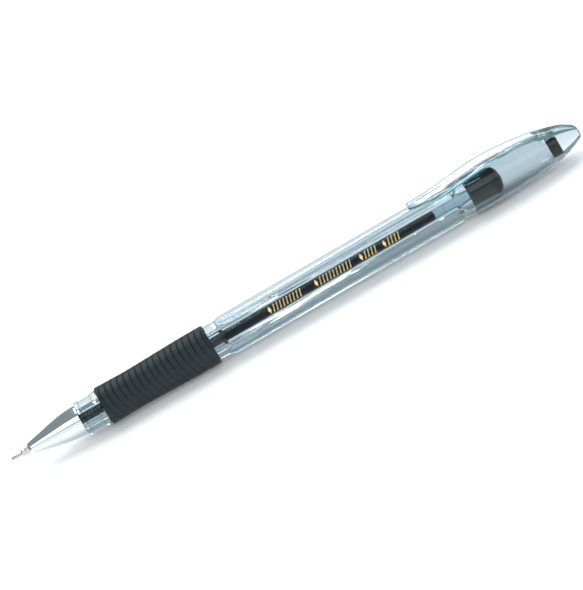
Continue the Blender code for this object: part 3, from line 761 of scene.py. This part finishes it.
def diamond(x):
    """A foil diamond as tall as the strokes."""
    half, top = DIAMOND_WIDTH / 2, PRINT_HEIGHT / 2
    stamp(x, [(-half, 0), (0, -top), (half, 0), (0, top)])


for ornament_front, strokes in [(74.0, 9), (87.4, 10), (100.3, 4), (107.0, 4)]:
    diamond(ornament_front + 0.5)
    for stroke in range(strokes):
        slanted_stroke(ornament_front + 1.7 + stroke * STROKE_PITCH)
bmesh.ops.recalc_face_normals(print_shape, faces=print_shape.faces)
piece_from(print_shape, "foil_print", gold, "barrel")


# ---------------------------------------------------------------------------------------------------
# Grip. A sleeve of dark rubber pushed over its seat, waisted for the fingers, with fine grooves
# moulded round it in planes that lean back.
GRIP_FRONT_RADIUS = 5.16
GRIP_WAIST_RADIUS = 4.97
GRIP_REAR_RADIUS = 5.30
GRIP_BORE = 4.15
GROOVE_PITCH = 1.73
GROOVE_WIDTH = 0.44
GROOVE_DEPTH = 0.20
GROOVE_LEAN = 3.5
GROOVE_APEX = math.radians(126)
GROOVE_START = 0.5
GROOVE_FADE = 0.4
GRIP_EDGE = 0.42
GRIP_END = 0.45
GRIP_STATION = 0.105
GRIP_SIDES = 120

rubber = Finish("grip_rubber", (0.011, 0.020, 0.024), specular_ior_level=0.25)
rubber_grain = rubber.noise(0.12 * MM, detail=3)
rubber.feed("Roughness", rubber_grain.between(0.3, 0.7, 0.38, 0.52))
rubber_wear = rubber.noise(5 * MM, detail=3)
rubber.feed("Base Color", rubber.mix(rubber_wear, (0.009, 0.017, 0.020), (0.014, 0.024, 0.029)))
rubber.bump(rubber_grain, 0.006 * MM)

grip_length = grip_rear - grip_front
grip_side = smooth_curve(
    [
        (grip_front, GRIP_FRONT_RADIUS),
        (grip_front + 0.28 * grip_length, GRIP_WAIST_RADIUS),
        (grip_front + 0.55 * grip_length, (GRIP_WAIST_RADIUS + GRIP_REAR_RADIUS) / 2),
        (grip_front + 0.78 * grip_length, GRIP_REAR_RADIUS),
        (grip_rear, GRIP_REAR_RADIUS),
    ]
)


def grip_radius(x):
    """Radius of the sleeve along its smooth side view."""
    for start, end in zip(grip_side, grip_side[1:]):
        if x <= end[0]:
            return start[1] + (end[1] - start[1]) * (x - start[0]) / (end[0] - start[0])
    return grip_side[-1][1]


grooved_length = grip_length - 2 * GRIP_END
stations = int(grooved_length / GRIP_STATION)
grip_places = [
    grip_front + GRIP_END + grooved_length * step / stations for step in range(stations + 1)
]
grip_outline = [
    (grip_front, GRIP_BORE),
    *filleted(
        [
            (grip_front, GRIP_BORE, 0),
            (grip_front, grip_radius(grip_front), GRIP_EDGE),
            (grip_front + GRIP_END, grip_radius(grip_front + GRIP_END), 0),
        ]
    )[1:-1],
    *[(x, grip_radius(x)) for x in grip_places],
    *filleted(
        [
            (grip_rear - GRIP_END, grip_radius(grip_rear - GRIP_END), 0),
            (grip_rear, grip_radius(grip_rear), GRIP_EDGE),
            (grip_rear, GRIP_BORE, 0),
        ]
    )[1:-1],
    (grip_rear, GRIP_BORE),
]
grip_shape = turned_shape(grip_outline, GRIP_SIDES)
for point in grip_shape.verts:
    x, y, z = point.co / MM
    radius = math.hypot(y, z)
    if radius < GRIP_BORE + 0.3:
        continue
    turn = math.atan2(z, y) - GROOVE_APEX
    along = x - grip_front - GROOVE_LEAN / 2 * (1 - math.cos(turn))
    off = abs(along / GROOVE_PITCH % 1 - 0.5) * GROOVE_PITCH
    from_end = min(x - grip_front, grip_rear - x)
    share = max(0.0, 1 - off / (GROOVE_WIDTH / 2))
    share *= min(1.0, max(0.0, (from_end - GROOVE_START) / GROOVE_FADE))
    sunk = GROOVE_DEPTH * smooth_step(share)
    point.co.y *= (radius - sunk) / radius
    point.co.z *= (radius - sunk) / radius
grip = piece_from(grip_shape, "rubber_grip", rubber, "barrel", sharp=60)
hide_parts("grip")


# ---------------------------------------------------------------------------------------------------
# End plug. A black plastic moulding with a rim and a domed head, pressed into the rear of the barrel
# by its stem. The stem is hollow at the front.
PLUG_STEM_RADIUS = 3.48
PLUG_HEAD_RADIUS = 3.65
PLUG_RIM_LENGTH = 0.55
DOME_HEIGHT = 2.0
DOME_STEPS = 14
PLUG_HOLLOW = 1.4
black = Finish("plug_plastic", (0.010, 0.012, 0.014), specular_ior_level=0.1)
black_grain = black.noise(0.2 * MM, detail=3)
black.feed("Roughness", black_grain.between(0.3, 0.7, 0.22, 0.36))
black.bump(black_grain, 0.003 * MM)
rim_front = plug_rear - DOME_HEIGHT - PLUG_RIM_LENGTH
plug_outline = [
    *filleted(
        [
            (plug_front + PLUG_HOLLOW, 0, 0),
            (plug_front + PLUG_HOLLOW, 2.4, 0.2),
            (plug_front, 2.5, 0.1),
            (plug_front, 3.2, 0.15),
            (barrel_rear - 1.0, PLUG_STEM_RADIUS, 0),
            (rim_front, PLUG_STEM_RADIUS, 0),
            (rim_front, PLUG_HEAD_RADIUS, 0.1),
            (rim_front + PLUG_RIM_LENGTH, PLUG_HEAD_RADIUS, 0),
        ]
    ),
    *[
        (plug_rear - DOME_HEIGHT * (1 - math.sin(turn)), PLUG_HEAD_RADIUS * math.cos(turn))
        for turn in [math.pi / 2 * step / DOME_STEPS for step in range(1, DOME_STEPS)]
    ],
    (plug_rear, 0),
]
plug = piece_from(turned_shape(plug_outline, 96), "rear_plug", black, "barrel")
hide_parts("end_plug")


# ---------------------------------------------------------------------------------------------------
# Cap. A clear moulded shell, which closes over the point, and here stands on the barrel's rear. Its
# outline is half of a long ellipse, and its bore ends in a step with the pocket for the seal.
cap_front, cap_rear = span("cap")
seal_front, seal_rear = span("cap_seal")
CAP_BELLY = cap_front + 6.25
CAP_BELLY_RADIUS = 5.65
CAP_SWELL_LENGTH = 26.5
CAP_BORE = 4.82
CAP_WALL = 0.85
CAP_MOUTH_CHAMFER = 0.12
CAP_MOUTH_BAND = 0.5
CAP_END_ROUND = 0.6
CAP_CLEARANCE_LENGTH = 9.5
POCKET_FRONT = seal_front - 0.8
POCKET_REAR = seal_rear + 0.1
POCKET_RADIUS = 3.05


def cap_radius(x):
    """Outer radius of the cap, on its long ellipse."""
    return CAP_BELLY_RADIUS * math.sqrt(1 - ((x - CAP_BELLY) / CAP_SWELL_LENGTH) ** 2)


def steps_between(start, end, count):
    """Evenly spaced numbers from start to end, both among them."""
    return [start + (end - start) * step / count for step in range(count + 1)]


def cap_bore(x):
    """Inner radius of the cap: even where it goes over the barrel, then a wall's depth inside."""
    return min(CAP_BORE, cap_radius(x) - CAP_WALL)


cap_clear = clear_plastic(
    "cap_plastic",
    face_tint=(0.62, 0.69, 0.725),
    edge_tint=(0.42, 0.56, 0.60),
    haze_stretch=(1, 1, 1),
    ripple_size=3,
    ripple_stretch=(4, 1, 1),
    ripple_depth=0.003,
)
rounding_front = cap_rear - CAP_END_ROUND
mouth_rear = cap_front + CAP_MOUTH_BAND
cap_outline = [
    (POCKET_REAR, 0),
    (POCKET_REAR, POCKET_RADIUS),
    (POCKET_FRONT, POCKET_RADIUS),
    *[(x, cap_bore(x)) for x in steps_between(POCKET_FRONT, cap_front + CAP_CLEARANCE_LENGTH, 12)],
    (cap_front + CAP_MOUTH_CHAMFER, CAP_BORE),
    (cap_front, CAP_BORE + CAP_MOUTH_CHAMFER),
    *filleted(
        [
            (cap_front, CAP_BORE + CAP_MOUTH_CHAMFER, 0),
            (cap_front, cap_radius(cap_front), 0.16),
            (mouth_rear, cap_radius(mouth_rear), 0),
        ]
    )[1:-1],
    *[(x, cap_radius(x)) for x in steps_between(mouth_rear, rounding_front, 48)],
    *[
        (
            rounding_front + CAP_END_ROUND * math.sin(turn),
            cap_radius(rounding_front) * (0.35 + 0.65 * math.cos(turn)),
        )
        for turn in steps_between(0, math.pi / 2, 6)[1:]
    ],
    (cap_rear, 0),
]
cap_shell = piece_from(turned_shape(cap_outline, 120), "cap_shell", cap_clear, "cap")
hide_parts("cap")


# ---------------------------------------------------------------------------------------------------
# Clip. A springy leaf in one moulding with the cap: it grows out of a saddle on the cap's end,
# stands clear of the cap and comes down to the barrel with a pad.
CLIP_CROWN = 0.12
CLIP_EDGE = 0.16
CLIP_STRIPS = 8
SADDLE_FRONT = 153.6
SADDLE_LIFT = 0.02
SADDLE_END = cap_rear - 0.4
EDGE_ANGLE = math.radians(45)
SIDE_FACING = 0.8

# Each point along the leaf is its place, the height of its top, half its width, and its thickness.
clip_line = smooth_curve(
    [
        (117.05, 6.20, 1.25, 0.60),
        (117.9, 6.12, 1.62, 0.75),
        (119.9, 6.02, 1.85, 0.85),
        (124.6, 5.88, 2.55, 0.85),
        (131.75, 6.36, 3.20, 0.85),
        (139.0, 6.99, 2.90, 0.85),
        (145.3, 6.83, 2.38, 0.85),
        (148.0, 6.62, 2.15, 0.85),
        (152.5, 5.93, 1.97, 0.90),
        (156.0, 4.98, 1.95, 1.2),
        (160.0, 3.80, 1.70, 1.2),
        (163.3, 1.95, 1.15, 0.9),
    ]
)

clip_clear = clear_plastic(
    "clip_plastic",
    face_tint=(0.90, 0.95, 0.965),
    edge_tint=(0.16, 0.46, 0.50),
    haze_stretch=(1, 1, 1),
    ripple_size=3,
    ripple_stretch=(4, 1, 1),
    ripple_depth=0.003,
)
clip_edge = Finish(
    "clip_edge",
    (0.14, 0.30, 0.33),
    transmission_weight=0.75,
    ior=1.49,
    specular_tint=CLEAR_SHEEN,
)
clip_edge.feed("Roughness", clip_edge.noise(2 * MM, detail=4).between(0.4, 0.8, 0.02, 0.08))


def saddle_height(x, y):
    """Height of the saddle's underside, which stays just clear of the cap's skin."""
    return math.sqrt(max(0.0, (cap_radius(min(x, SADDLE_END)) + SADDLE_LIFT) ** 2 - y**2))


clip_shape = bmesh.new()
bmesh.ops.create_grid(clip_shape, x_segments=len(clip_line) - 1, y_segments=CLIP_STRIPS, size=1)
clip_shape.verts.ensure_lookup_table()
columns = sorted({round(point.co.x, 5) for point in clip_shape.verts})
under = bmesh.ops.extrude_face_region(clip_shape, geom=clip_shape.faces[:])
lower = {part for part in under["geom"] if isinstance(part, bmesh.types.BMVert)}
for point in clip_shape.verts:
    x, height, half_width, thickness = clip_line[columns.index(round(point.co.x, 5))]
    side = point.co.y
    z = height - CLIP_CROWN * side**2
    if point in lower and x > SADDLE_FRONT:
        z = saddle_height(x, side * half_width)
    elif point in lower:
        z -= thickness
    point.co = Vector((x, side * half_width, z)) * MM
bmesh.ops.recalc_face_normals(clip_shape, faces=clip_shape.faces)
rim = [edge for edge in clip_shape.edges if edge.calc_face_angle(0) > EDGE_ANGLE]
bmesh.ops.bevel(
    clip_shape,
    geom=rim,
    offset=CLIP_EDGE * MM,
    segments=3,
    profile=0.5,
    affect="EDGES",
    material=-1,
    clamp_overlap=True,
)
bmesh.ops.recalc_face_normals(clip_shape, faces=clip_shape.faces)
for face in clip_shape.faces:
    face.material_index = int(abs(face.normal.y) > SIDE_FACING)
clip = piece_from(clip_shape, "cap_clip", clip_clear, None, sharp=50)
clip.data.materials.append(clip_edge.material)
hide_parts("clip")
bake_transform(clip)


# ---------------------------------------------------------------------------------------------------
# Seal. A soft black rubber disc in the pocket at the closed end of the cap, with a dimple for the
# ball, so that the ink doesn't dry out while the cap is on the front.
SEAL_RADIUS = 3.0
SEAL_EDGE = 0.45
DIMPLE_DEPTH = 0.6
seal_rubber = Finish("seal_rubber", (0.010, 0.011, 0.012), specular_ior_level=0.2)
seal_grain = seal_rubber.noise(0.1 * MM, detail=3)
seal_rubber.feed("Roughness", seal_grain.between(0.3, 0.7, 0.42, 0.6))
seal_rubber.bump(seal_grain, 0.004 * MM)
seal_outline = filleted(
    [
        (seal_front + DIMPLE_DEPTH, 0, 0),
        (seal_front + 0.45, 0.7, 0.3),
        (seal_front, 1.1, 0.2),
        (seal_front, SEAL_RADIUS, SEAL_EDGE),
        (seal_rear, SEAL_RADIUS, SEAL_EDGE),
        (seal_rear, 0, 0),
    ]
)
seal = piece_from(turned_shape(seal_outline, 80), "point_seal", seal_rubber, "cap")
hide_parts("cap_seal")
